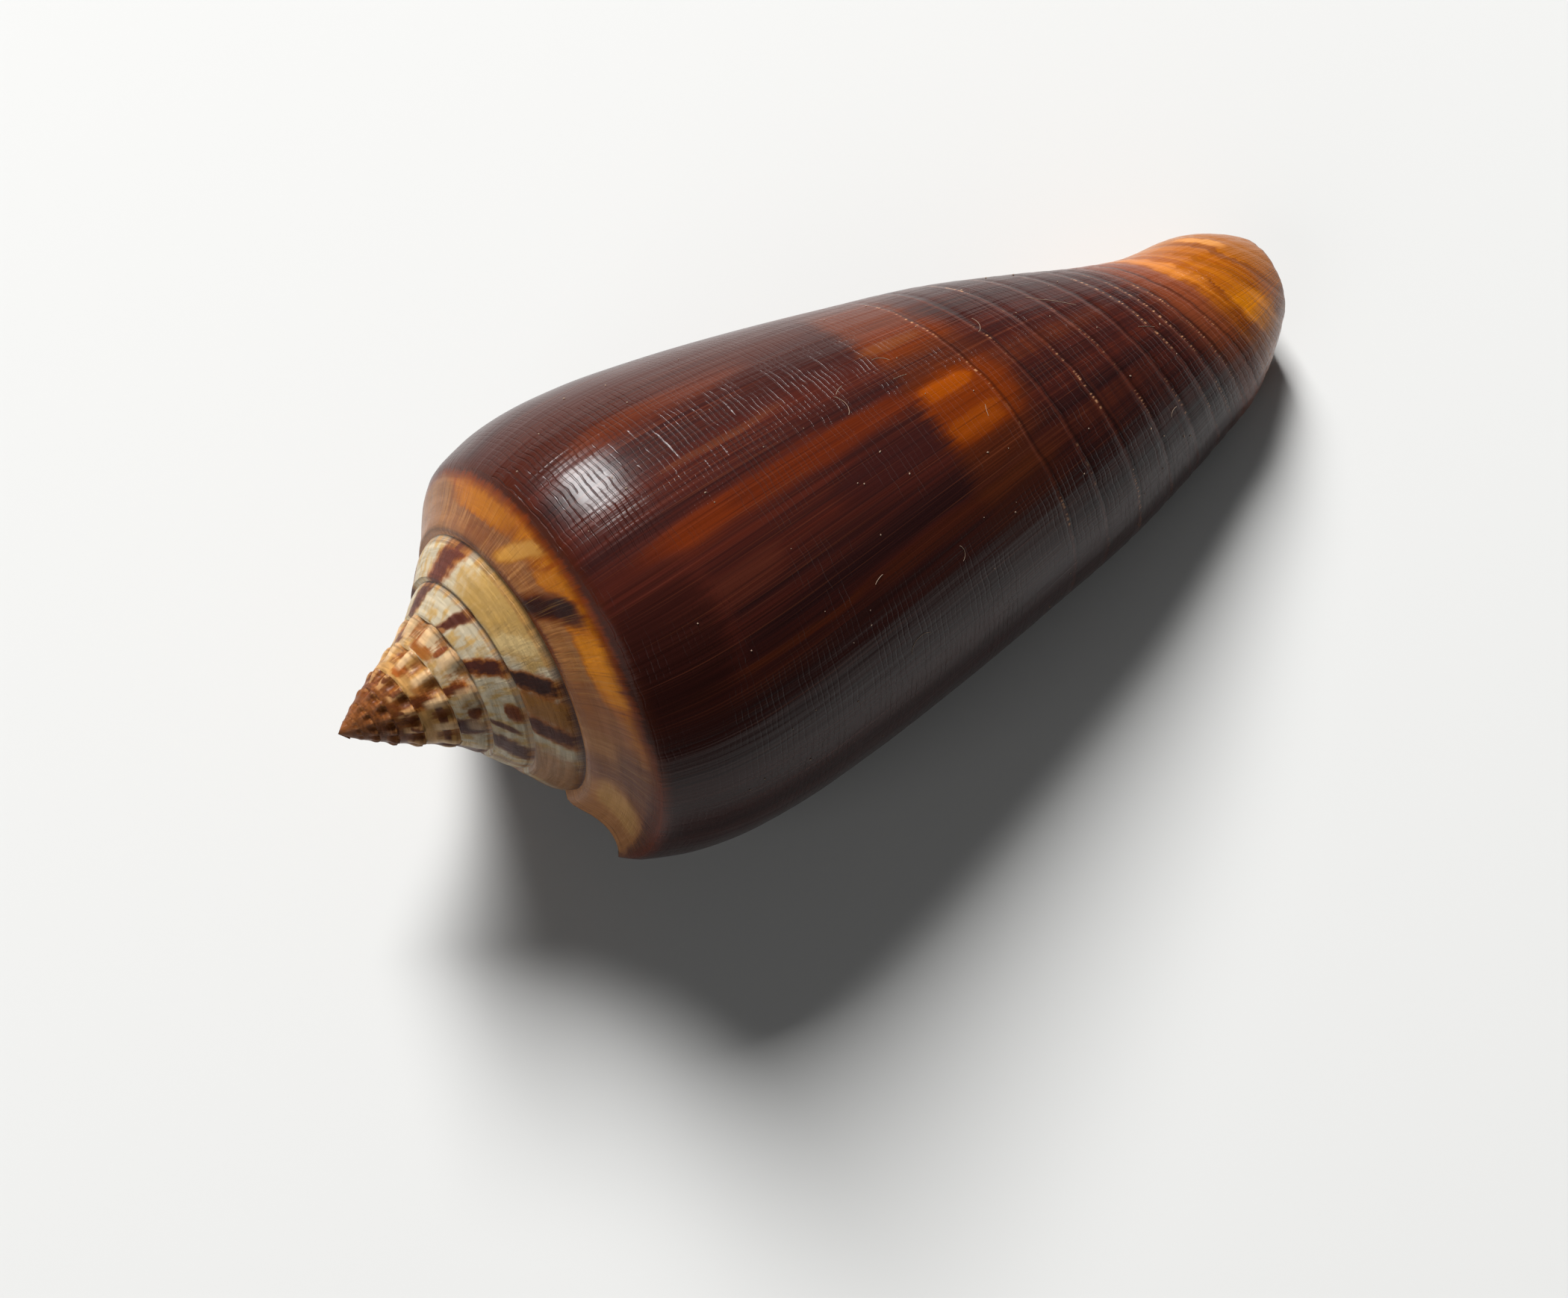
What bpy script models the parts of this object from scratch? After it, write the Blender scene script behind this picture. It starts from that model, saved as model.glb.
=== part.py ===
"""Cone shell lying on its aperture side, modelled as the one piece that it grew as.

The wall is followed along the coil. A place on it is told by two numbers: how many whorls it lies
behind the lip, and how far it is from the suture, over the ramp and shoulder, down to the front end.
Sizes are in millimetres until the mesh is made.
"""
import math

import bmesh
import bpy
import numpy as np

MM = 0.001

LENGTH = 49.5
SHOULDER_RADIUS = (11.00, 6.80, 4.98, 3.58, 2.68, 2.00, 1.50, 1.08, 0.72, 0.40)
SHOULDER_DEPTH = (10.10, 8.05, 6.68, 5.48, 4.45, 3.15, 2.15, 1.45, 0.86, 0.40)
LIP_RISE = 0.75
LIP_RISE_WHORLS = 0.35
BODY_LENGTH = 40.96
BODY_GROWTH = 0.682
BODY_PROFILE = (
    (0.00, 1.000), (0.02, 1.018), (0.05, 1.057), (0.10, 1.093), (0.18, 1.100), (0.28, 1.064),
    (0.42, 0.984), (0.56, 0.885), (0.70, 0.773), (0.82, 0.634), (0.92, 0.507), (1.00, 0.430),
    (1.12, 0.408), (1.25, 0.392), (1.50, 0.260), (2.00, 0.150),
)
END_ROUNDING = 0.40
END_ROUNDING_LENGTH = 4.2

LIP_ANGLE = math.radians(120.8)
REST_TILT = math.radians(10.1)
FLAT_DEPTH = 0.25

SPIRE_WHORLS = 9
STEPS = 48
FINE_WHORLS = 3
RAMP_SHARES = (0.0, 0.10, 0.45, 0.85, 1.0)
RAMP_RISE = (0.0, 0.030, 0.012, 0.004, 0.0)
STEP_SHARE = 0.012
CAVITY_SHARE = 0.045
BODY_SHARES = (0.08, 0.12, 0.18, 0.25, 0.33, 0.42, 0.50, 0.55)
GROOVE_SHARES = (0.586, 0.637, 0.700, 0.755, 0.809, 0.849)
GROOVE_HALF_WIDTH = 0.011
GROOVE_DEPTH = 0.13
END_ROWS_START = 0.875
END_RIDGES = 4
GROOVE_WHORLS = (0.85, 1.0)
NODULES = 12
NODULE_HEIGHT = 0.07
NODULE_WHORLS = (3.5, 8.5)

SINUS = math.radians(14.0)
LIP_BULGE = math.radians(3.0)
LIP_RETREAT = math.radians(9.0)
BENT_STEPS = 8

WALL = 1.7
LIP_WALL = 0.7
LIP_TAPER_STEPS = 6
CAVITY_STEPS = 27
CAVITY_STRIDE = 3
INNER_RAMP_SHARES = (0.45, 0.80)
INNER_BODY_SHARES = (0.035, 0.08, 0.15, 0.24, 0.34, 0.45, 0.56, 0.67, 0.78, 0.87, 0.94)


def smooth_curve(points, value):
    """Reads a smooth curve through the given points, with slopes taken from the neighbours."""
    places, heights = np.array(list(points), dtype=float).T
    slopes = np.gradient(heights, places)
    value = float(np.clip(value, places[0], places[-1]))
    index = min(int(np.searchsorted(places, value, side="right")) - 1, len(places) - 2)
    span = places[index + 1] - places[index]
    t = (value - places[index]) / span
    start = (1 + 2 * t) * (1 - t) ** 2 * heights[index] + t * (1 - t) ** 2 * span * slopes[index]
    end = t * t * (3 - 2 * t) * heights[index + 1] + t * t * (t - 1) * span * slopes[index + 1]
    return start + end


def shoulder(back):
    """Radius and depth of the shoulder line, at a number of whorls back from the lip."""
    radius = math.exp(smooth_curve(enumerate(np.log(SHOULDER_RADIUS)), back))
    depth = smooth_curve(enumerate(SHOULDER_DEPTH), back)
    depth -= LIP_RISE * max(0.0, 1 - back / LIP_RISE_WHORLS) ** 2
    return radius, depth


def body_point(back, share):
    """Radius and depth on the body, at a share of its length below the shoulder."""
    radius, depth = shoulder(back)
    depth = min(depth + share * BODY_LENGTH * BODY_GROWTH ** back, LENGTH)
    share = (depth - shoulder(back)[1]) / (BODY_LENGTH * BODY_GROWTH ** back)
    near_end = max(0.0, 1 - (LENGTH - depth) / END_ROUNDING_LENGTH)
    radius *= smooth_curve(BODY_PROFILE, share) * (1 - END_ROUNDING * near_end ** 2)
    return radius, depth


def end_share(back):
    """Share of the body length at which the shell reaches its front end."""
    return (LENGTH - shoulder(back)[1]) / (BODY_LENGTH * BODY_GROWTH ** back)


def ramp_point(back, share, rise):
    """Radius and depth on the ramp, from the suture at share 0 to the shoulder at share 1."""
    inner_radius, inner_depth = body_point(back + 1, STEP_SHARE)
    outer_radius, outer_depth = shoulder(back)
    radius = inner_radius + (outer_radius - inner_radius) * share
    depth = inner_depth + (outer_depth - inner_depth) * share - rise * outer_radius
    return radius, depth


def whorls_back(step, kind, share):
    """Whorls back from the lip. Near the lip the columns bend to its edge, notched on the ramp."""
    lead = 0.0
    if kind == "ramp":
        lead = -SINUS * math.sin(math.pi * share)
    elif kind == "body" and share > CAVITY_SHARE:
        along = min(1.0, (share - CAVITY_SHARE) / (END_ROWS_START - CAVITY_SHARE))
        lead = LIP_BULGE * math.sin(math.pi * along) - LIP_RETREAT * along ** 3
    elif kind == "end":
        lead = -LIP_RETREAT
    nearness = max(0.0, 1 - step / BENT_STEPS)
    return step / STEPS - lead * nearness / (2 * math.pi)


def make_rows():
    """Lists the rows across the wall, from the suture to the front end."""
    rows = [("ramp", share, rise) for share, rise in zip(RAMP_SHARES, RAMP_RISE)]
    rows.append(("body", STEP_SHARE, 0.0))
    rows.append(("body", CAVITY_SHARE, 0.0))
    rows += [("body", share, 0.0) for share in BODY_SHARES]
    for share in GROOVE_SHARES:
        rows.append(("body", share - GROOVE_HALF_WIDTH, 0.0))
        rows.append(("body", share, GROOVE_DEPTH))
        rows.append(("body", share + GROOVE_HALF_WIDTH, 0.0))
    for index in range(2 * END_RIDGES + 1):
        rows.append(("end", index / (2 * END_RIDGES), GROOVE_DEPTH * (index % 2)))
    return rows


ROWS = make_rows()
STEP_ROW = len(RAMP_SHARES)
CAVITY_ROW = STEP_ROW + 1
LAST_ROW = len(ROWS) - 1


def in_axes(radius, depth, angle):
    """A point in the shell's own axes: the apex at the start, the front end towards +X, top +Z."""
    return (depth, -radius * math.sin(angle), radius * math.cos(angle))


def nodule(back):
    """Swelling of the shoulder on the early whorls."""
    first, last = NODULE_WHORLS
    if not first < back < last:
        return 1.0
    fade = math.sin(math.pi * (back - first) / (last - first)) ** 0.5
    return 1.0 + NODULE_HEIGHT * fade * math.cos(2 * math.pi * back * NODULES)


def wall_point(step, row_index):
    """A point of the outer surface, so many steps back from the lip."""
    kind, share, extra = ROWS[row_index]
    back = whorls_back(step, kind, share)
    groove = extra * float(np.interp(back, GROOVE_WHORLS, (1.0, 0.0)))
    if kind == "ramp":
        radius, depth = ramp_point(back, share, extra)
        if share == 1.0:
            radius *= nodule(back)
    elif kind == "body":
        radius, depth = body_point(back, share)
        radius -= groove
    else:
        start = END_ROWS_START
        radius, depth = body_point(back, start + (end_share(back) - start) * share)
        radius -= groove
    return in_axes(radius, depth, LIP_ANGLE - 2 * math.pi * back)


def wall_thickness(step):
    """Wall thickness, thin at the lip and full a little way behind it."""
    share = min(1.0, step / LIP_TAPER_STEPS)
    return LIP_WALL + (WALL - LIP_WALL) * share


def inner_points(step):
    """Inner face of the last whorl at one step, from under the suture to the front end."""
    thickness = wall_thickness(step)
    points = []
    for share in INNER_RAMP_SHARES:
        back = whorls_back(step, "ramp", share)
        radius, depth = ramp_point(back, share, 0.0)
        points.append(in_axes(radius, depth + 1.1 * thickness, LIP_ANGLE - 2 * math.pi * back))
    for share in INNER_BODY_SHARES + (None,):
        back = whorls_back(step, "end" if share is None else "body", share)
        radius, depth = body_point(back, end_share(back) if share is None else share)
        if share == INNER_BODY_SHARES[0]:
            depth = max(depth, shoulder(back)[1] + 1.1 * thickness)
        points.append(in_axes(radius - thickness, depth, LIP_ANGLE - 2 * math.pi * back))
    return points


def bridge(mesh, first, second):
    """Joins two chains of vertices with triangles, moving along both at the same pace."""
    a, b = 0, 0
    while a < len(first) - 1 or b < len(second) - 1:
        next_a = (a + 1) / (len(first) - 1) if a < len(first) - 1 else 2.0
        next_b = (b + 1) / (len(second) - 1) if b < len(second) - 1 else 2.0
        if next_a <= next_b:
            add_face(mesh, (first[a], first[a + 1], second[b]))
            a += 1
        else:
            add_face(mesh, (first[a], second[b + 1], second[b]))
            b += 1


def add_face(mesh, corners):
    """Adds one face, leaving out corners that are the same vertex."""
    unique = [corner for index, corner in enumerate(corners) if corner not in corners[:index]]
    if len(unique) > 2:
        mesh.faces.new(unique)


def step_stride(step):
    """The early whorls are small and take every second step only."""
    return 1 if step < FINE_WHORLS * STEPS else 2


def build_shell(mesh):
    """Builds the closed wall: spire, last whorl, lip, hollow behind the aperture and front end."""
    last_step = SPIRE_WHORLS * STEPS
    grid = {}
    apex = mesh.verts.new(in_axes(0.0, 0.0, 0.0))

    def outer(step, row):
        if row == 0:
            if step + STEPS > last_step:
                return apex
            return outer(step + STEPS, STEP_ROW)
        if (step, row) not in grid:
            grid[step, row] = mesh.verts.new(wall_point(step, row))
        return grid[step, row]

    step = 0
    while step < last_step:
        after = step + step_stride(step)
        rows = LAST_ROW if step < STEPS else STEP_ROW
        for row in range(1, rows):
            corners = (outer(step, row), outer(step, row + 1), outer(after, row + 1), outer(after, row))
            add_face(mesh, corners)
        above = step + STEPS
        if step_stride(step) == 1 and step_stride(above) == 2:
            if step % 2 == 0:
                left, right = outer(step, 0), outer(step + 2, 0)
                low = [outer(step + index, 1) for index in range(3)]
                add_face(mesh, (left, low[0], low[1]))
                add_face(mesh, (left, low[1], right))
                add_face(mesh, (right, low[1], low[2]))
        else:
            add_face(mesh, (outer(step, 0), outer(step, 1), outer(after, 1), outer(after, 0)))
        step = after
    add_face(mesh, [apex] + [outer(last_step, row) for row in range(1, STEP_ROW + 1)])

    cavity = list(range(0, CAVITY_STEPS + 1, CAVITY_STRIDE))
    inside = []
    parietal = []
    for step in cavity:
        rows = range(CAVITY_ROW, LAST_ROW + 1)
        parietal.append([outer(step + STEPS, row) for row in rows])
        points = [mesh.verts.new(point) for point in inner_points(step)]
        inside.append([parietal[-1][0]] + points)
    for chains in (inside, parietal):
        for near, far in zip(chains, chains[1:]):
            for index in range(len(near) - 1):
                add_face(mesh, (near[index], near[index + 1], far[index + 1], far[index]))
    lip = [outer(0, row) for row in range(LAST_ROW + 1)]
    bridge(mesh, lip, inside[0])
    bridge(mesh, inside[-1], parietal[-1])

    for index, (near, far) in enumerate(zip(cavity, cavity[1:])):
        rim = [outer(step, LAST_ROW) for step in range(near, far + 1)]
        bridge(mesh, rim, [inside[index][-1], inside[index + 1][-1]])
    core = [outer(step, LAST_ROW) for step in range(CAVITY_STEPS, STEPS + 1)]
    core += [chain[-1] for chain in parietal[1:]]
    core.append(inside[-1][-1])
    end_face = mesh.faces.new(core)
    bmesh.ops.triangulate(mesh, faces=[end_face])


def rest(mesh):
    """Turns the shell to where it lies and flattens the spots that it lies on."""
    points = np.array([vertex.co for vertex in mesh.verts])
    cosine, sine = math.cos(REST_TILT), math.sin(REST_TILT)
    turned = points.copy()
    turned[:, 0] = points[:, 0] * cosine + points[:, 2] * sine
    turned[:, 2] = points[:, 2] * cosine - points[:, 0] * sine
    turned[:, 2] = np.maximum(turned[:, 2] - turned[:, 2].min() - FLAT_DEPTH, 0.0)
    middle = (turned.min(axis=0) + turned.max(axis=0)) / 2
    turned[:, :2] -= middle[:2]
    for vertex, place in zip(mesh.verts, turned):
        vertex.co = place * MM


def shell_material():
    """Glossy brown shell."""
    material = bpy.data.materials.new("shell_brown")
    material.use_nodes = True
    shader = material.node_tree.nodes["Principled BSDF"]
    shader.inputs["Base Color"].default_value = (0.075, 0.018, 0.010, 1.0)
    shader.inputs["Roughness"].default_value = 0.28
    shader.inputs["Metallic"].default_value = 0.0
    return material


def main():
    for item in list(bpy.data.objects):
        bpy.data.objects.remove(item)
    parts = bpy.data.collections.new("cone_shell")
    bpy.context.scene.collection.children.link(parts)

    mesh = bmesh.new()
    build_shell(mesh)
    rest(mesh)
    bmesh.ops.recalc_face_normals(mesh, faces=mesh.faces)
    data = bpy.data.meshes.new("shell")
    mesh.to_mesh(data)
    mesh.free()
    data.materials.append(shell_material())
    data.shade_smooth()
    data.set_sharp_from_angle(angle=math.radians(40))
    parts.objects.link(bpy.data.objects.new("shell", data))


main()
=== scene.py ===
"""Looks of a glossy brown cone shell: its fine wall, its markings, the floor, the light and the camera.

The wall is followed along the coil, as in the solid. "Back" is the number of whorls behind the lip.
"Across" runs from -1 at the suture to 0 at the shoulder, and then counts body lengths towards the
front end. Shape values are in millimetres, in the shell's own axes, until the mesh is made.
"""
import functools
import math

import bmesh
import bpy
import numpy as np
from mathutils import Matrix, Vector


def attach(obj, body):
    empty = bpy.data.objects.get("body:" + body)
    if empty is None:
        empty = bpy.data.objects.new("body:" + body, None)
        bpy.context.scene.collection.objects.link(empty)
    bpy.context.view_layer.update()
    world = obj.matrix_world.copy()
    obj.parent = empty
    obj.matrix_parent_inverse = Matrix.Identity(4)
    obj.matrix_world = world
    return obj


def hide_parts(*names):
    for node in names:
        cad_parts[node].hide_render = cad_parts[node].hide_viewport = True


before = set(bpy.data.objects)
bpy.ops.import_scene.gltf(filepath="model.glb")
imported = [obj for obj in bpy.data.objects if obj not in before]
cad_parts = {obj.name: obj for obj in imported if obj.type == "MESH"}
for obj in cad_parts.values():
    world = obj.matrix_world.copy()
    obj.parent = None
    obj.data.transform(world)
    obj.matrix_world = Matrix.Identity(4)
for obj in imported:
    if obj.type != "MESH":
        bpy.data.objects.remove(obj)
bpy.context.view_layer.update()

MM = 0.001
TURN = 2 * math.pi

# Shape of the shell, the same values as the solid's
LENGTH = 49.5
SHOULDER_RADIUS = (11.00, 6.80, 4.98, 3.58, 2.68, 2.00, 1.50, 1.08, 0.72, 0.40)
SHOULDER_DEPTH = (10.10, 8.05, 6.68, 5.48, 4.45, 3.15, 2.15, 1.45, 0.86, 0.40)
LIP_RISE = 0.75
LIP_RISE_WHORLS = 0.35
BODY_LENGTH = 40.96
BODY_GROWTH = 0.682
BODY_PROFILE = (
    (0.00, 1.000), (0.02, 1.018), (0.05, 1.057), (0.10, 1.093), (0.18, 1.100), (0.28, 1.064),
    (0.42, 0.984), (0.56, 0.885), (0.70, 0.773), (0.82, 0.634), (0.92, 0.507), (1.00, 0.430),
    (1.12, 0.408), (1.25, 0.392), (1.50, 0.260), (2.00, 0.150),
)
END_ROUNDING = 0.40
END_ROUNDING_LENGTH = 4.2
LIP_ANGLE = math.radians(120.8)
APEX = np.array((-24.5672, 1.2979, 10.5840))
REST_TILT = math.radians(10.1)
STEP_SHARE = 0.012
CAVITY_SHARE = 0.045
SPIRE_WHORLS = 9
NODULES = 12
NODULE_HEIGHT = 0.085
NODULE_WHORLS = (2.9, 8.5)
NODULE_PLACE, NODULE_SPREAD = -0.04, 0.34
SINUS = math.radians(14.0)
LIP_BULGE = math.radians(3.0)
LIP_RETREAT = math.radians(9.0)
LIP_BEND_WHORLS = 8 / 48
END_ROWS_START = 0.875
WALL = 1.7
LIP_WALL = 0.7
LIP_TAPER_WHORLS = 6 / 48
CAVITY_WHORLS = 27 / 48
CAVITY_ROOF = 1.1
RAMP_SHAPE = (
    (0.0, 0.0), (0.05, 0.020), (0.12, 0.030), (0.30, 0.016), (0.55, 0.008), (0.8, 0.006), (1.0, 0.0),
)

# Shape of the scene alone: fuller early whorls, the lip's edge and the rounded shoulder
SPIRE_BULGE = 0.022
LIP_EDGE_BULGE = 0.22
SHOULDER_ROUNDING = 0.12
ROUNDING_OFFSETS = (-1.0, -0.67, -0.33, 0.33, 0.67, 1.0)
ROUNDING_FADE = 1.6
ROUNDING_SPAN = 1.3
ROUNDING_WEIGHT = 1.1

# Fineness of the mesh, with rows across and steps round a whorl
STEPS = 288
FINE_WHORLS = 3
RAMP_ROWS = 14
BODY_ROWS = 60
FRONT_ROWS = 130
EVEN_ROWS = 76
FRONT_ROWS_START = 0.56
EVEN_ROWS_END = 0.9
CAVITY_STRIDE = 6
CAVITY_FIRST_ROW = 6
LIP_EDGE_CHAINS = 4
LIP_LOOK_AHEAD = 0.001
LINING_SHARE = 0.6

# Place across given to the faces that close the front end
FRONT_END = 1.2

# Relief: heights in millimetres, growth lines per whorl, and how growth lines lean and bow
INSET = 0.045
FINE_LINES, FINE_HEIGHT = 60, 0.014
COARSE_LINES, COARSE_HEIGHT = 9, 0.040
GROWTH_LEAN = 0.073
GROWTH_BOW = 0.035
NOISE_LENGTH = 4096

# Spiral ledge and channel above it: place across, half width and height
LEDGES = ((-0.80, 0.022, 0.0035), (-0.86, 0.030, -0.0030))

# Spiral grooves of the front half: place across, depth and half width
GROOVES = (
    (0.583, 0.022, 0.0036), (0.638, 0.030, 0.0040), (0.696, 0.034, 0.0042), (0.754, 0.036, 0.0042),
    (0.806, 0.036, 0.0042), (0.845, 0.032, 0.0040), (0.872, 0.026, 0.0040), (0.898, 0.028, 0.0040),
    (0.925, 0.024, 0.0040), (0.952, 0.020, 0.0042), (0.982, 0.018, 0.0045), (1.015, 0.018, 0.0050),
    (1.052, 0.018, 0.0050), (1.095, 0.025, 0.0055), (1.140, 0.025, 0.0055),
)


def smooth_curve(points, value):
    """Reads a smooth curve through the given points, with slopes taken from the neighbours."""
    places, heights = np.array(list(points), dtype=float).T
    slopes = np.gradient(heights, places)
    value = np.clip(np.asarray(value, dtype=float), places[0], places[-1])
    index = np.clip(np.searchsorted(places, value, side="right") - 1, 0, len(places) - 2)
    span = places[index + 1] - places[index]
    t = (value - places[index]) / span
    start = (1 + 2 * t) * (1 - t) ** 2 * heights[index] + t * (1 - t) ** 2 * span * slopes[index]
    end = t * t * (3 - 2 * t) * heights[index + 1] + t * t * (t - 1) * span * slopes[index + 1]
    return start + end


def shoulder(back):
    """Radius and depth of the shoulder line."""
    radius = np.exp(smooth_curve(enumerate(np.log(SHOULDER_RADIUS)), back))
    depth = smooth_curve(enumerate(SHOULDER_DEPTH), back)
    depth = depth - LIP_RISE * np.maximum(0.0, 1 - back / LIP_RISE_WHORLS) ** 2
    return radius, depth


def body_scale(back):
    """Length of the body at this stage of growth."""
    return BODY_LENGTH * BODY_GROWTH ** back


def end_share(back):
    """Share of the body length at which the shell reaches its front end."""
    return (LENGTH - shoulder(back)[1]) / body_scale(back)


def body_point(back, share):
    """Radius and depth on the body, at a share of its length below the shoulder."""
    radius, depth = shoulder(back)
    share = np.minimum(share, end_share(back))
    depth = depth + share * body_scale(back)
    near_end = np.maximum(0.0, 1 - (LENGTH - depth) / END_ROUNDING_LENGTH)
    radius = radius * smooth_curve(BODY_PROFILE, share) * (1 - END_ROUNDING * near_end ** 2)
    return radius, depth


def ramp_point(back, share):
    """Radius and depth on the ramp, from the suture at share 0 to the shoulder at share 1."""
    inner_radius, inner_depth = body_point(back + 1, STEP_SHARE)
    outer_radius, outer_depth = shoulder(back)
    radius = inner_radius + (outer_radius - inner_radius) * share
    depth = inner_depth + (outer_depth - inner_depth) * share
    rise = smooth_curve(RAMP_SHAPE, share)
    rise = rise + SPIRE_BULGE * np.sin(math.pi * share) ** 0.7 * np.clip((back - 0.85) / 0.3, 0, 1)
    return radius, depth - rise * outer_radius


def sharp_wall(back, across):
    """Radius and depth on the outer face, before the shoulder is rounded."""
    ramp = ramp_point(back, np.clip(across + 1, 0, 1))
    body = body_point(back, np.maximum(across, 0))
    on_ramp = across < 0
    return np.where(on_ramp, ramp[0], body[0]), np.where(on_ramp, ramp[1], body[1])


def wall(back, across):
    """Radius and depth anywhere on the outer face, with a rounded shoulder."""
    radius, depth = sharp_wall(back, across)
    corner_radius, corner_depth = shoulder(back)
    suture_radius, suture_depth = ramp_point(back, 0.0)
    ramp_length = np.hypot(corner_radius - suture_radius, corner_depth - suture_depth)
    place = np.where(across < 0, across * ramp_length, across * body_scale(back))
    reach = SHOULDER_ROUNDING * corner_radius
    reach = reach * np.clip(ROUNDING_FADE - np.abs(place) / (ROUNDING_SPAN * reach), 0, 1)
    total_radius, total_depth, total = radius, depth, 1.0
    for offset in ROUNDING_OFFSETS:
        moved = place + offset * reach
        moved = np.where(moved < 0, moved / ramp_length, moved / body_scale(back))
        near_radius, near_depth = sharp_wall(back, np.maximum(moved, -1.0))
        weight = ROUNDING_WEIGHT - abs(offset)
        total_radius = total_radius + weight * near_radius
        total_depth = total_depth + weight * near_depth
        total += weight
    used = reach > 0
    return np.where(used, total_radius / total, radius), np.where(used, total_depth / total, depth)


def lip_bend(back, across):
    """Moves the columns near the lip to its edge, which is notched on the ramp."""
    ramp = -SINUS * np.sin(math.pi * np.clip(across + 1, 0, 1))
    along = np.clip((across - CAVITY_SHARE) / (END_ROWS_START - CAVITY_SHARE), 0, 1)
    body = LIP_BULGE * np.sin(math.pi * along) - LIP_RETREAT * along ** 3
    lead = np.where(across < 0, ramp, body)
    return -lead * np.maximum(0.0, 1 - back / LIP_BEND_WHORLS) / TURN


@functools.lru_cache(maxsize=None)
def noise_values(seed):
    """Fixed random values for one seed."""
    return np.random.default_rng(seed).uniform(-1, 1, NOISE_LENGTH)


def line_noise(place, seed, octaves=3):
    """Smooth noise along one line, between -1 and 1."""
    total = np.zeros_like(place)
    for octave in range(octaves):
        values = noise_values(seed * 10 + octave)
        spot = place * 2 ** octave + 17.3 * octave
        whole = np.floor(spot).astype(int)
        t = spot - whole
        t = t * t * (3 - 2 * t)
        here, after = values[whole % NOISE_LENGTH], values[(whole + 1) % NOISE_LENGTH]
        total += (here * (1 - t) + after * t) * 0.6 ** octave
    return total / 1.9


def growth_place(back, across):
    """Whorls back of the growth line that passes through a place."""
    body = back - GROWTH_LEAN * np.maximum(across, 0)
    ramp = GROWTH_BOW * np.sin(math.pi * np.clip(across + 1, 0, 1))
    return body + np.where(across < 0, ramp, 0.0)


def relief(back, across):
    """Height of the fine relief above the smooth wall, in millimetres."""
    radius = shoulder(back)[0]
    growth = growth_place(back, across)
    height = -INSET + FINE_HEIGHT * line_noise(growth * FINE_LINES, 1) * np.minimum(1, radius / 6)
    height += COARSE_HEIGHT * line_noise(growth * COARSE_LINES, 2, 2) * np.minimum(1, radius / 8)
    for place, half_width, ledge in LEDGES:
        height += ledge * radius ** 0.8 * np.exp(-((across - place) / half_width) ** 2)
    last = np.clip(1.0 - (back - 0.8) / 0.2, 0, 1)
    for index, (place, depth, half_width) in enumerate(GROOVES):
        wobble = 0.0035 * line_noise(back * 14 + 31 * index, 40 + index, 2)
        off = (across - place - wobble) / half_width
        height -= last * depth * np.exp(-off ** 2)
        height += last * 0.24 * depth * np.exp(-((off + 2.1) / 1.1) ** 2)
    first, final = NODULE_WHORLS
    fade = np.sqrt(np.sin(math.pi * np.clip((back - first) / (final - first), 0, 1)))
    near = np.exp(-((across - NODULE_PLACE) / NODULE_SPREAD) ** 2) * (1.0 + 0.3 * line_noise(back * 8, 3, 2))
    phase = TURN * back * NODULES + 0.4 * line_noise(back * 5, 4, 2)
    height += NODULE_HEIGHT * radius * fade * np.cos(phase) * near
    return height


def in_axes(radius, depth, back):
    """Points in the shell's own axes: the apex at the start, the front end towards +X, top +Z."""
    angle = LIP_ANGLE - TURN * back
    return np.stack([depth, -radius * np.sin(angle), radius * np.cos(angle)], -1)


def outer_points(back, across):
    """Points of the finished outer face along one column."""
    back = back + lip_bend(back, across)
    radius, depth = wall(back, across)
    along = np.gradient(radius, axis=-1), np.gradient(depth, axis=-1)
    size = np.hypot(*along) + 1e-9
    rise = relief(back, across)
    radius = radius + rise * along[1] / size
    depth = np.minimum(depth - rise * along[0] / size, LENGTH)
    return in_axes(radius, depth, back)


def thickness(back):
    """Wall thickness, thin at the lip and full a little way behind it."""
    return LIP_WALL + (WALL - LIP_WALL) * np.minimum(1.0, back / LIP_TAPER_WHORLS)


def inner_points(back, across):
    """Points of the inner face of the last whorl along one column."""
    thick = thickness(back)
    back = back + lip_bend(back, across)
    radius, depth = wall(back, across)
    corner_radius, corner_depth = shoulder(back)
    roof = CAVITY_ROOF * thick
    inner_radius = np.where(across < 0, np.minimum(radius, corner_radius - thick), radius - thick)
    inner_depth = np.where(across < 0, depth + roof, np.maximum(depth, corner_depth + roof))
    inner_depth = np.minimum(inner_depth, LENGTH)
    return in_axes(inner_radius, inner_depth, back)


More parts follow.
